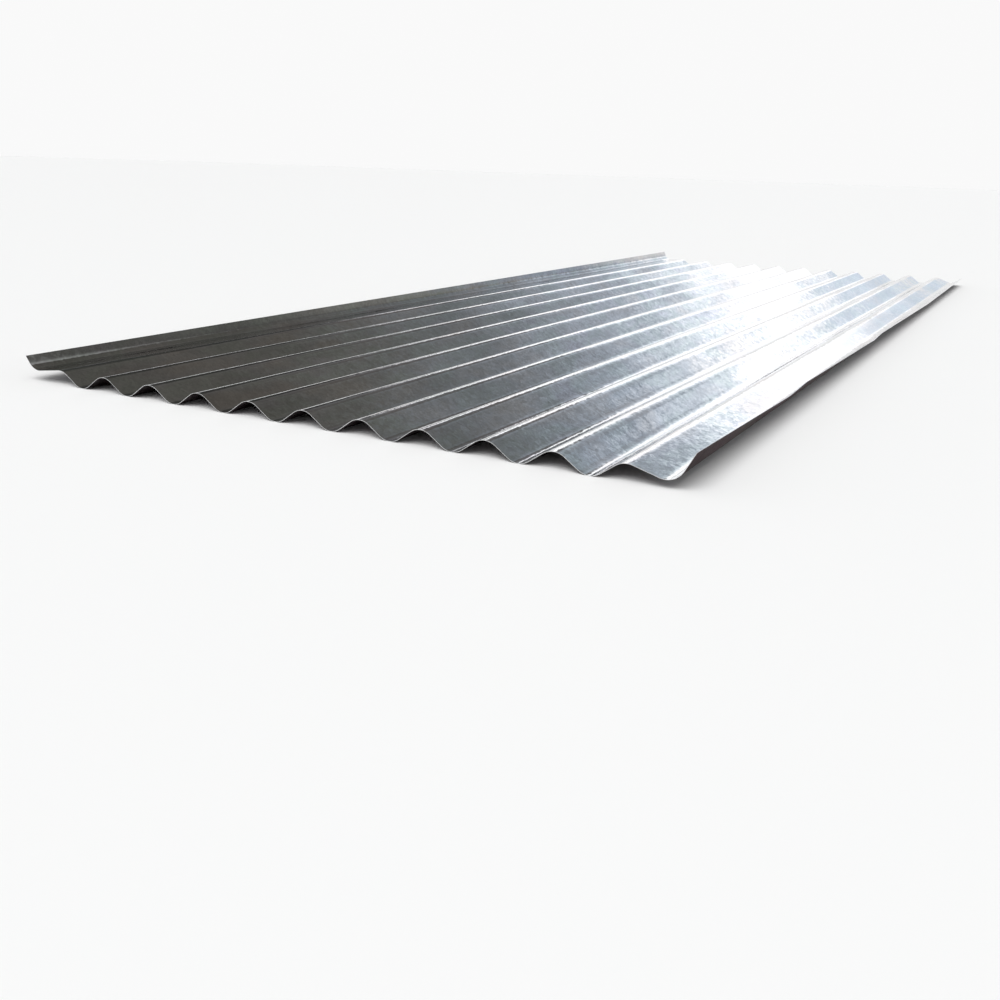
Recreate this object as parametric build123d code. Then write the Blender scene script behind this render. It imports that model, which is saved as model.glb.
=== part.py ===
from build123d import *
import os
from math import cos, radians, sin, tan

os.makedirs("parts", exist_ok=True)

# A corrugated sheet, roll-formed from one strip of galvanised steel.
# It lies on its troughs with its length along Y, its waves across X and its upper face up.
# Lengths are in millimetres, angles in degrees, and sections are set out on the strip's middle surface.

# The strip
sheet_length = 2400
sheet_thickness = 0.5

# The waves
crest_count = 11
wave_pitch = 76
wave_depth = 18
flank_angle = 35.5  # slope of the straight flanks between crests and troughs

# The free edges past the outer crests are sprung up, and twist along the sheet.
# Each falls gently from its crest, turns up in a shallow trough, and ends in a straight lip.
left_lip = 10
left_near_fall_angle, left_near_rise_angle = 7, 55
left_far_fall_angle, left_far_rise_angle = 3, 70
right_lip = 22
right_near_fall_angle, right_near_rise_angle = 16, 62
right_low_fall_angle, right_low_rise_angle = 20, 25
right_far_fall_angle, right_far_rise_angle = 20, 30

# Shares of the length from the near end: its two ends, and where the right rim is lowest
near_share, right_low_share, far_share = 0, 0.69, 1

outer_crest = (crest_count - 1) * wave_pitch / 2  # from the middle crest to the outer ones


def tangent_radius():
    # radius of every crest and trough, whose bends meet the straight flanks at their slope
    slope = radians(flank_angle)
    return (wave_pitch / 2 * tan(slope) - wave_depth) / (2 / cos(slope) - 2)


bend_radius = tangent_radius()


def straight_run(slope):
    # length of a straight from a crest to a trough half a pitch away, at that slope
    bent = 2 * bend_radius * sin(radians(slope))
    return (wave_pitch / 2 - bent) / cos(radians(slope))


def wave_moves():
    # from the top of the first crest to the top of the last, as pairs of a bend and the straight after it
    flank_run = straight_run(flank_angle)
    moves = [(-flank_angle, flank_run), (2 * flank_angle, flank_run)]
    for _ in range(crest_count - 2):
        moves += [(-2 * flank_angle, flank_run), (2 * flank_angle, flank_run)]
    return moves + [(-flank_angle, None)]


def edge_moves(fall, rise, lip):
    # from the top of the outer crest to the rim
    return [(-fall, straight_run(fall)), (fall + rise, lip)]


def draw_face(start, moves, offset):
    # one face of the strip, offset to the left of the way that the moves go
    heading = 0
    corner = Vector(start, offset)
    drawn = []
    for turn, run in moves:
        along = Vector(1, 0).rotate(Axis.Z, heading)
        radius = bend_radius - offset if turn > 0 else bend_radius + offset
        drawn.append(JernArc(corner, along, radius, turn))
        corner = drawn[-1] @ 1
        heading += turn
        if run:
            drawn.append(Line(corner, corner + Vector(1, 0).rotate(Axis.Z, heading) * run))
            corner = drawn[-1] @ 1
    return drawn


def draw_strip(start, moves):
    # the closed section of the strip along the moves
    upper = draw_face(start, moves, sheet_thickness / 2)
    lower = draw_face(start, moves, -sheet_thickness / 2)
    Line(upper[0] @ 0, lower[0] @ 0)
    Line(upper[-1] @ 1, lower[-1] @ 1)


def across_at(length_share):
    # the plane across the sheet at that share of its length
    return Plane.XZ.offset(sheet_length / 2 - length_share * sheet_length)


def sprung_edge(lip, stations):
    # the free edge on the right, its lip turned as each station says
    with BuildPart() as edge:
        for length_share, fall, rise in stations:
            with BuildSketch(across_at(length_share)):
                with BuildLine():
                    draw_strip(outer_crest, edge_moves(fall, rise, lip))
                make_face()
        loft(ruled=True)
    return edge.part


with BuildPart() as waves:
    with BuildSketch(Plane.XZ):
        with BuildLine():
            draw_strip(-outer_crest, wave_moves())
        make_face()
    extrude(amount=sheet_length / 2, both=True)

right_edge = sprung_edge(
    right_lip,
    [
        (near_share, right_near_fall_angle, right_near_rise_angle),
        (right_low_share, right_low_fall_angle, right_low_rise_angle),
        (far_share, right_far_fall_angle, right_far_rise_angle),
    ],
)
left_edge = mirror(
    sprung_edge(
        left_lip,
        [
            (near_share, left_near_fall_angle, left_near_rise_angle),
            (far_share, left_far_fall_angle, left_far_rise_angle),
        ],
    ),
    about=Plane.YZ,
)
rolled = waves.part + right_edge + left_edge

# the origin is under the middle of the sheet, on the level of its troughs
box = rolled.bounding_box()
corrugated_sheet = Pos(-box.center().X, -box.center().Y, -box.min.Z) * rolled
export_step(corrugated_sheet, "parts/corrugated_sheet.step")
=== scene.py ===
import math

import bmesh
import bpy
from mathutils import Matrix, Vector


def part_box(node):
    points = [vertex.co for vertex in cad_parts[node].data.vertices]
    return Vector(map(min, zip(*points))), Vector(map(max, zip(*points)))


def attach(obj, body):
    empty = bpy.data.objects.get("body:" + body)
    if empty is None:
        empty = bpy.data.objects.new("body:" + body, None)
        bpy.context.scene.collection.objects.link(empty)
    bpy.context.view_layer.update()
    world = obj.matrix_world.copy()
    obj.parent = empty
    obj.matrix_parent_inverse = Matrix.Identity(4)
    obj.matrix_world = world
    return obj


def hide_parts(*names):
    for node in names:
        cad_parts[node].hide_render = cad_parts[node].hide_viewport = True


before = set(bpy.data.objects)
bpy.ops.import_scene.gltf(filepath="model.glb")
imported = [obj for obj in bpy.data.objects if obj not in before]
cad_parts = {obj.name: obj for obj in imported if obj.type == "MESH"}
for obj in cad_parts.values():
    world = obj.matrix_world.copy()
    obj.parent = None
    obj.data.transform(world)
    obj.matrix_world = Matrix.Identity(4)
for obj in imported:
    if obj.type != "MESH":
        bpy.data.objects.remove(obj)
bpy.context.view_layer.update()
print("frame loaded")

# the sheet, in metres and degrees, set out on the strip's middle surface
sheet = {
    "crests": 11,
    "pitch": 0.076,
    "depth": 0.018,
    "flankAngle": 35.5,
    "thickness": 0.0005,
    # share of the length from the near end, then fall, rise and lip of the left edge and of the right
    "stations": [
        (0, 7, 55, 0.0099, 16, 61.85, 0.022),
        (0.146, 6.4, 57.2, 0.0098, 16.9, 49, 0.0211),
        (0.183, 6.3, 57.7, 0.0098, 17.1, 54.3, 0.0217),
        (0.393, 5.4, 60.9, 0.0096, 18.3, 37.8, 0.0211),
        (0.425, 5.3, 61.4, 0.0096, 18.5, 43.9, 0.0209),
        (0.69, 4.2, 65.4, 0.0096, 20, 25, 0.022),
        (1, 3, 70, 0.0099, 20, 30, 0.0219),
    ],
    "bendSteps": 10,
    "runSteps": 2,
    "lengthStep": 0.02,
    "creaseAngle": 35,
    "startSize": 0.01,  # of the plane that a section's first vertex is merged from
    "sectionReach": 0.001,  # how near its place along the sheet a section's vertices lie
    "mergeReach": 0.00001,
}


def tangentRadius():
    # of the bends that meet the straight flanks at their slope
    slope = math.radians(sheet["flankAngle"])
    return (sheet["pitch"] / 2 * math.tan(slope) - sheet["depth"]) / (2 / math.cos(slope) - 2)


bendRadius = tangentRadius()


def straightRun(slope):
    # between a crest and a trough half a pitch apart
    bent = 2 * bendRadius * math.sin(math.radians(slope))
    return (sheet["pitch"] / 2 - bent) / math.cos(math.radians(slope))


def rollingMoves(leftFall, leftRise, leftLip, rightFall, rightRise, rightLip):
    # pairs of a straight run and the bend after it, from the left rim to the right one
    flank = sheet["flankAngle"]
    run = straightRun(flank)
    moves = [(leftLip, leftRise + leftFall), (straightRun(leftFall), -leftFall - flank)]
    moves += [(run, 2 * flank), (run, -2 * flank)] * (sheet["crests"] - 2)
    moves += [
        (run, 2 * flank),
        (run, -flank - rightFall),
        (straightRun(rightFall), rightFall + rightRise),
        (rightLip, 0),
    ]
    return moves


def drawSection(y, edges):
    # from a vertex on the left rim, by moves and a spin for each run and bend
    bpy.ops.mesh.select_all(action="DESELECT")
    bpy.ops.mesh.primitive_plane_add(size=sheet["startSize"], location=(0, y, 0))
    bpy.ops.mesh.merge(type="CENTER")
    place = Vector((0, y, 0))
    leftRise = edges[1]
    heading = -leftRise
    firstCrest = None
    for run, turn in rollingMoves(*edges):
        along = Vector((math.cos(math.radians(heading)), 0, math.sin(math.radians(heading))))
        move = along * (run / sheet["runSteps"])
        for _ in range(sheet["runSteps"]):
            bpy.ops.mesh.extrude_vertices_move(TRANSFORM_OT_translate={"value": move})
        place += along * run
        if turn:
            side = 1 if turn > 0 else -1
            centre = place + Vector((-along.z, 0, along.x)) * side * bendRadius
            angle = math.radians(abs(turn))
            bpy.ops.mesh.spin(
                steps=sheet["bendSteps"], angle=angle, center=centre, axis=(0, side, 0)
            )
            place = centre + Matrix.Rotation(math.radians(-turn), 3, "Y") @ (place - centre)
            heading += turn
            if side < 0 and firstCrest is None:
                firstCrest = centre
    return firstCrest


def pickSections(piece, *places):
    # selects the vertices at these places along the sheet, in edit mode
    drawn = bmesh.from_edit_mesh(piece.data)
    for vert in drawn.verts:
        vert.select_set(any(abs(vert.co.y - y) < sheet["sectionReach"] for y in places))
    drawn.select_flush_mode()
    bmesh.update_edit_mesh(piece.data)


def drawSkin(piece, nearEnd, farEnd):
    # the sections with their first crests in line, and the skin bridged between them, upper side out
    places = []
    for share, *edges in sheet["stations"]:
        y = nearEnd + share * (farEnd - nearEnd)
        crest = drawSection(y, edges)
        pickSections(piece, y)
        bpy.ops.transform.translate(value=(-crest.x, 0, -crest.z))
        places.append(y)
    for near, far in zip(places, places[1:]):
        pickSections(piece, near, far)
        cuts = max(round((far - near) / sheet["lengthStep"]) - 1, 1)
        bpy.ops.mesh.bridge_edge_loops(number_cuts=cuts, interpolation="LINEAR", smoothness=0)
    bpy.ops.mesh.select_all(action="SELECT")
    bpy.ops.mesh.remove_doubles(threshold=sheet["mergeReach"])
    bpy.ops.mesh.normals_make_consistent(inside=False)
    drawn = bmesh.from_edit_mesh(piece.data)
    if sum(face.normal.z for face in drawn.faces) < 0:
        bpy.ops.mesh.flip_normals()


def giveWall(piece):
    # the strip's thickness, with the coats of the upper face, the underside with its painted shade,
    # and the rim in turn
    for name, coat in (("zincUpper", zinc), ("zincUnderPaintedShade", zincUnderPaintedShade), ("cutEdge", cutEdge)):
        piece.data.materials.append(makeZinc(name, coat))
    bpy.ops.object.modifier_add(type="SOLIDIFY")
    wall = piece.modifiers[-1]
    wall.thickness = sheet["thickness"]
    wall.offset = 0
    wall.use_even_offset = True
    wall.material_offset = 1
    wall.material_offset_rim = 2
    bpy.ops.object.modifier_apply(modifier=wall.name)


def setInPlace(piece, low, high):
    # onto the place of the solid
    corners = [Vector(corner) for corner in piece.bound_box]
    least = Vector([min(corner[i] for corner in corners) for i in range(3)])
    most = Vector([max(corner[i] for corner in corners) for i in range(3)])
    shift = (low + high - least - most) / 2
    bpy.ops.object.mode_set(mode="EDIT")
    bpy.ops.mesh.select_all(action="SELECT")
    bpy.ops.transform.translate(value=(shift.x, shift.y, low.z - least.z))
    bpy.ops.object.mode_set(mode="OBJECT")


def makeSheet():
    low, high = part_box("corrugated_sheet")
    bpy.ops.object.select_all(action="DESELECT")
    bpy.ops.mesh.primitive_plane_add(size=sheet["startSize"])
    piece = bpy.context.object
    piece.name = "sheet"
    bpy.ops.object.mode_set(mode="EDIT")
    bpy.ops.mesh.delete(type="VERT")
    drawSkin(piece, low.y, high.y)
    bpy.ops.object.mode_set(mode="OBJECT")
    giveWall(piece)
    setInPlace(piece, low, high)
    bpy.ops.object.shade_smooth_by_angle(angle=math.radians(sheet["creaseAngle"]))
    return piece


# the zinc coat: crystals of spangle, rolling streaks, dull patches and a faint bloom of colour
zinc = {
    "dark": (0.45, 0.45, 0.45, 1),
    "light": (0.78, 0.78, 0.78, 1),
    "edgeTint": (1, 1, 1, 1),
    "bloom": [
        (0.34, (1.03, 0.985, 0.97)),
        (0.46, (0.99, 0.985, 1.01)),
        (0.56, (0.965, 1.01, 0.99)),
        (0.68, (1, 0.98, 1.035)),
    ],
    "roughness": (0.05, 0.11),
    "spangleTilt": 0.02,
    "grainTilt": 0.022,
    "rippleTilt": 0.06,
}
# the underside: the same zinc painted far darker, as painted shade, and rougher
zincUnderPaintedShade = {
    "dark": (0.1, 0.09, 0.088, 1),
    "light": (0.17, 0.155, 0.155, 1),
    "edgeTint": (0.3, 0.27, 0.28, 1),
    "bloom": [(0.3, (1.05, 0.94, 1.03)), (0.7, (0.97, 1.01, 0.97))],
    "roughness": (0.34, 0.5),
    "spangleTilt": 0.08,
    "grainTilt": 0.06,
    "rippleTilt": 0.02,
}
cutEdge = {
    "dark": (0.6, 0.6, 0.6, 1),
    "light": (0.85, 0.85, 0.85, 1),
    "edgeTint": (1, 1, 1, 1),
    "bloom": [(0.3, (1, 1, 1)), (0.7, (0.98, 0.99, 1))],
    "roughness": (0.25, 0.4),
    "spangleTilt": 0.0,
    "grainTilt": 0.1,
    "rippleTilt": 0.0,
}

# the patterns that all coats share
pattern = {
    # scale and detail
    "wander": (160, 2),
    "patch": (16, 5),
    "ripple": (9, 1),
    "bloom": (18, 4),
    "streak": (260, 3),
    # scales of the crystals, and how far their borders wander
    "spangleScale": 130,
    "grainScale": 380,
    "wanderShift": 0.004,
    # patches, ripples and bloom are drawn out along the rolling direction, and streaks far more
    "drawnOut": (1, 0.4, 1),
    "streaked": (1, 0.02, 1),
    # each one's share in the tone from dark to light
    "patchShare": 0.5,
    "spangleShare": 0.2,
    "grainShare": 0.25,
    "streakShare": 0.15,
    # values between which the patches go from none to full, and the coat from smooth to rough
    "patchRange": (0.3, 0.7),
    "roughRange": (0.3, 1.5),
    "middle": (0.5, 0.5, 0.5),  # of a pattern's colours
}


def addNode(tree, kind, inputs=None, **settings):
    node = tree.nodes.new(kind)
    for name, value in settings.items():
        setattr(node, name, value)
    for name, value in (inputs or {}).items():
        if hasattr(value, "is_output"):
            tree.links.new(value, node.inputs[name])
        else:
            node.inputs[name].default_value = value
    return node


def addMath(tree, operation, *values):
    return addNode(tree, "ShaderNodeMath", dict(enumerate(values)), operation=operation).outputs[0]


def addVectorMath(tree, operation, inputs):
    return addNode(tree, "ShaderNodeVectorMath", inputs, operation=operation).outputs[0]


def addNoise(tree, way, scale, detail):
    inputs = {"Vector": way, "Scale": scale, "Detail": detail}
    return addNode(tree, "ShaderNodeTexNoise", inputs).outputs


def addCrystals(tree, way, scale):
    # a colour for each crystal
    return addNode(tree, "ShaderNodeTexVoronoi", {"Vector": way, "Scale": scale}).outputs["Color"]


def stretch(tree, way, scale):
    return addNode(tree, "ShaderNodeMapping", {"Vector": way, "Scale": scale}).outputs[0]


def crystalValue(tree, colour):
    # one number for each crystal
    return addNode(tree, "ShaderNodeSeparateColor", {0: colour}).outputs[0]


def nudge(tree, start, colour, amount):
    # moves a vector by a pattern's colour, to both sides of its middle
    lean = addVectorMath(tree, "SUBTRACT", {0: colour, 1: pattern["middle"]})
    lean = addVectorMath(tree, "SCALE", {0: lean, "Scale": amount})
    return addVectorMath(tree, "ADD", {0: start, 1: lean})


def mixColour(tree, factor, first, second, blend="MIX"):
    # the node's colours are its inputs 6 and 7 and its output 2
    inputs = {0: factor, 6: first, 7: second}
    return addNode(tree, "ShaderNodeMix", inputs, data_type="RGBA", blend_type=blend).outputs[2]


def spread(tree, value, low, high, outLow, outHigh):
    inputs = {
        "Value": value,
        "From Min": low,
        "From Max": high,
        "To Min": outLow,
        "To Max": outHigh,
    }
    return addNode(tree, "ShaderNodeMapRange", inputs).outputs[0]


def makeRamp(tree, value, stops):
    node = addNode(tree, "ShaderNodeValToRGB", {0: value})
    ramp = node.color_ramp
    while len(ramp.elements) < len(stops):
        ramp.elements.new(0.5)  # gets its position below
    for element, (position, colour) in zip(ramp.elements, stops):
        element.position = position
        element.color = (*colour, 1)
    return node.outputs["Color"]


def makeZinc(name, coat):
    made = bpy.data.materials.new(name)
    made.use_nodes = True
    tree = made.node_tree
    shader = tree.nodes["Principled BSDF"]
    shader.inputs["Metallic"].default_value = 1
    shader.inputs["Specular Tint"].default_value = coat["edgeTint"]
    coords = addNode(tree, "ShaderNodeTexCoord").outputs["Object"]
    # crystals with wandering borders
    wander = addNoise(tree, coords, *pattern["wander"])["Color"]
    wandered = nudge(tree, coords, wander, pattern["wanderShift"])
    spangle = addCrystals(tree, wandered, pattern["spangleScale"])
    grain = addCrystals(tree, wandered, pattern["grainScale"])
    crystal = crystalValue(tree, spangle)
    speck = crystalValue(tree, grain)
    drawnOut = stretch(tree, coords, pattern["drawnOut"])
    patch = addNoise(tree, drawnOut, *pattern["patch"])["Fac"]
    ripple = addNoise(tree, drawnOut, *pattern["ripple"])["Color"]
    bloom = addNoise(tree, drawnOut, *pattern["bloom"])["Fac"]
    streaked = stretch(tree, coords, pattern["streaked"])
    streak = addNoise(tree, streaked, *pattern["streak"])["Fac"]
    tone = spread(tree, patch, *pattern["patchRange"], 0, pattern["patchShare"])
    tone = addMath(tree, "MULTIPLY_ADD", crystal, pattern["spangleShare"], tone)
    tone = addMath(tree, "MULTIPLY_ADD", speck, pattern["grainShare"], tone)
    tone = addMath(tree, "MULTIPLY_ADD", streak, pattern["streakShare"], tone)
    colour = mixColour(tree, tone, coat["dark"], coat["light"])
    colour = mixColour(tree, 1.0, colour, makeRamp(tree, bloom, coat["bloom"]), "MULTIPLY")
    tree.links.new(colour, shader.inputs["Base Color"])
    rough = addMath(tree, "ADD", crystal, patch)
    rough = spread(tree, rough, *pattern["roughRange"], *coat["roughness"])
    tree.links.new(rough, shader.inputs["Roughness"])
    # each crystal lies at its own slight tilt
    facing = addNode(tree, "ShaderNodeNewGeometry").outputs["Normal"]
    facing = nudge(tree, facing, spangle, coat["spangleTilt"])
    facing = nudge(tree, facing, grain, coat["grainTilt"])
    facing = nudge(tree, facing, ripple, coat["rippleTilt"])
    facing = addVectorMath(tree, "NORMALIZE", {0: facing})
    tree.links.new(facing, shader.inputs["Normal"])
    return made


sheetPiece = makeSheet()
print("sheet made:", len(sheetPiece.data.polygons), "faces")
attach(sheetPiece, "root")
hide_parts("corrugated_sheet")

floor = {"size": 120, "colour": (0.9, 0.9, 0.9, 1), "roughness": 0.9}


def makeFloor():
    bpy.ops.object.select_all(action="DESELECT")
    bpy.ops.mesh.primitive_plane_add(size=floor["size"])
    made = bpy.context.object
    made.name = "floor"
    paint = bpy.data.materials.new("floorPaint")
    paint.use_nodes = True
    shader = paint.node_tree.nodes["Principled BSDF"]
    shader.inputs["Base Color"].default_value = floor["colour"]
    shader.inputs["Roughness"].default_value = floor["roughness"]
    made.data.materials.append(paint)


makeFloor()

# a white backdrop low all round, a dim warm ceiling that is lighter overhead, and between them walls
# that differ by direction: pale around, dark at the left, a bright doorway and opening ahead, a window
# and a side wall
white = (0.95, 0.95, 0.95)
dimCeiling = [
    (0.67, (0.11, 0.105, 0.095)),
    (0.8, (0.105, 0.1, 0.09)),
    (0.88, (0.4, 0.4, 0.39)),
    (1, (0.55, 0.55, 0.54)),
]
light = {
    # colours by the sine of the height above the horizon
    "around": [
        (0, white),
        (0.17, white),
        (0.26, (0.78, 0.8, 0.83)),
        (0.36, (0.58, 0.61, 0.64)),
        (0.5, (0.43, 0.44, 0.45)),
        (0.65, (0.38, 0.38, 0.37)),
        (1, (0.55, 0.55, 0.54)),
    ],
    "shade": [
        (0, white),
        (0.14, white),
        (0.17, (0.04, 0.04, 0.04)),
        (0.5, (0.055, 0.055, 0.05)),
        *dimCeiling,
    ],
    "doorway": [
        (0, white),
        (0.143, white),
        (0.16, (1.6, 1.6, 1.65)),
        (0.275, (1.65, 1.65, 1.7)),
        (0.3, (0.2, 0.2, 0.21)),
        (0.5, (0.125, 0.12, 0.115)),
        *dimCeiling,
    ],
    "ahead": [
        (0, white),
        (0.143, white),
        (0.16, (1.5, 1.5, 1.55)),
        (0.28, (1.55, 1.55, 1.6)),
        (0.32, (1, 1.1, 1.2)),
        (0.37, (0.52, 0.58, 0.66)),
        (0.48, (0.24, 0.26, 0.28)),
        (0.6, (0.15, 0.15, 0.14)),
        *dimCeiling,
    ],
    "window": [
        (0, white),
        (0.11, white),
        (0.145, (0.72, 0.82, 0.94)),
        (0.2, (0.8, 0.9, 1.02)),
        (0.25, (1.7, 1.7, 1.7)),
        (0.285, (1.75, 1.75, 1.75)),
        (0.31, (1.05, 1.15, 1.25)),
        (0.375, (0.72, 0.8, 0.9)),
        (0.4, (0.45, 0.52, 0.6)),
        (0.48, (0.24, 0.26, 0.28)),
        (0.6, (0.15, 0.15, 0.14)),
        *dimCeiling,
    ],
    "side": [
        (0, white),
        (0.16, white),
        (0.26, (0.37, 0.42, 0.5)),
        (0.4, (0.25, 0.25, 0.23)),
        (0.55, (0.12, 0.12, 0.11)),
        (0.65, (0.105, 0.1, 0.095)),
        (0.74, (0.36, 0.36, 0.35)),
        (1, (0.55, 0.55, 0.54)),
    ],
    # degrees from straight ahead over which each takes over from the one on its left, then the heights
    # that its border leans between, and by how many degrees to the right
    "turns": [
        ("shade", (-66, -56), (0, 1, 0)),
        ("doorway", (-28, -25), (0.16, 0.25, -6)),
        ("ahead", (-24, -20), (0.27, 0.34, 6.5)),
        ("window", (-4.5, -2), (0.2, 0.3, 5.5)),
        ("side", (11, 16), (0, 1, 0)),
        ("around", (28, 44), (0.3, 0.55, 24)),
    ],
    "sunStrength": 2.4,
    "sunAngle": 50,
    "sunTurn": (35, 0, 12),
}


def makeLight():
    scene = bpy.context.scene
    world = bpy.data.worlds.new("studio")
    scene.world = world
    world.use_nodes = True
    tree = world.node_tree
    way = addNode(tree, "ShaderNodeTexCoord").outputs["Generated"]
    split = addNode(tree, "ShaderNodeSeparateXYZ", {0: way}).outputs
    up = split["Z"]
    turn = addMath(tree, "ARCTAN2", split["X"], split["Y"])
    turn = addMath(tree, "DEGREES", turn)
    whole = makeRamp(tree, up, light["around"])
    for zone, borders, (foot, top, degrees) in light["turns"]:
        lean = spread(tree, up, foot, top, 0, degrees)
        leaned = addMath(tree, "SUBTRACT", turn, lean)
        cover = spread(tree, leaned, *borders, 0, 1)
        whole = mixColour(tree, cover, whole, makeRamp(tree, up, light[zone]))
    tree.links.new(whole, tree.nodes["Background"].inputs["Color"])
    sunTurn = [math.radians(angle) for angle in light["sunTurn"]]
    bpy.ops.object.light_add(type="SUN", rotation=sunTurn)
    sun = bpy.context.object
    sun.data.energy = light["sunStrength"]
    sun.data.angle = math.radians(light["sunAngle"])
    sun.visible_glossy = False  # the sheet mirrors the room and not the lamp
    scene.view_settings.view_transform = "Standard"


makeLight()

# the camera, in metres, degrees, pixels of the picture and millimetres of the sensor
eye = {
    "place": (0.7115, -2.0971, 0.2778),
    "yaw": 27.52,
    "pitch": 17.48,
    "roll": 1.91,
    "focalPixels": 1054,
    "pictureWidth": 1000,
    "sensorWidth": 36,
    "clipEnd": 200,
}


def makeCamera():
    bpy.ops.object.camera_add(location=eye["place"])
    camera = bpy.context.object
    turn = Matrix.Rotation(math.radians(eye["yaw"]), 4, "Z")
    tilt = Matrix.Rotation(math.radians(90 - eye["pitch"]), 4, "X")  # unturned, it looks down
    roll = Matrix.Rotation(math.radians(eye["roll"]), 4, "Z")
    camera.matrix_world = Matrix.Translation(eye["place"]) @ turn @ tilt @ roll
    camera.data.sensor_width = eye["sensorWidth"]
    camera.data.lens = eye["sensorWidth"] * eye["focalPixels"] / eye["pictureWidth"]
    camera.data.clip_end = eye["clipEnd"]
    bpy.context.scene.camera = camera


makeCamera()
print("floor, light and camera set")
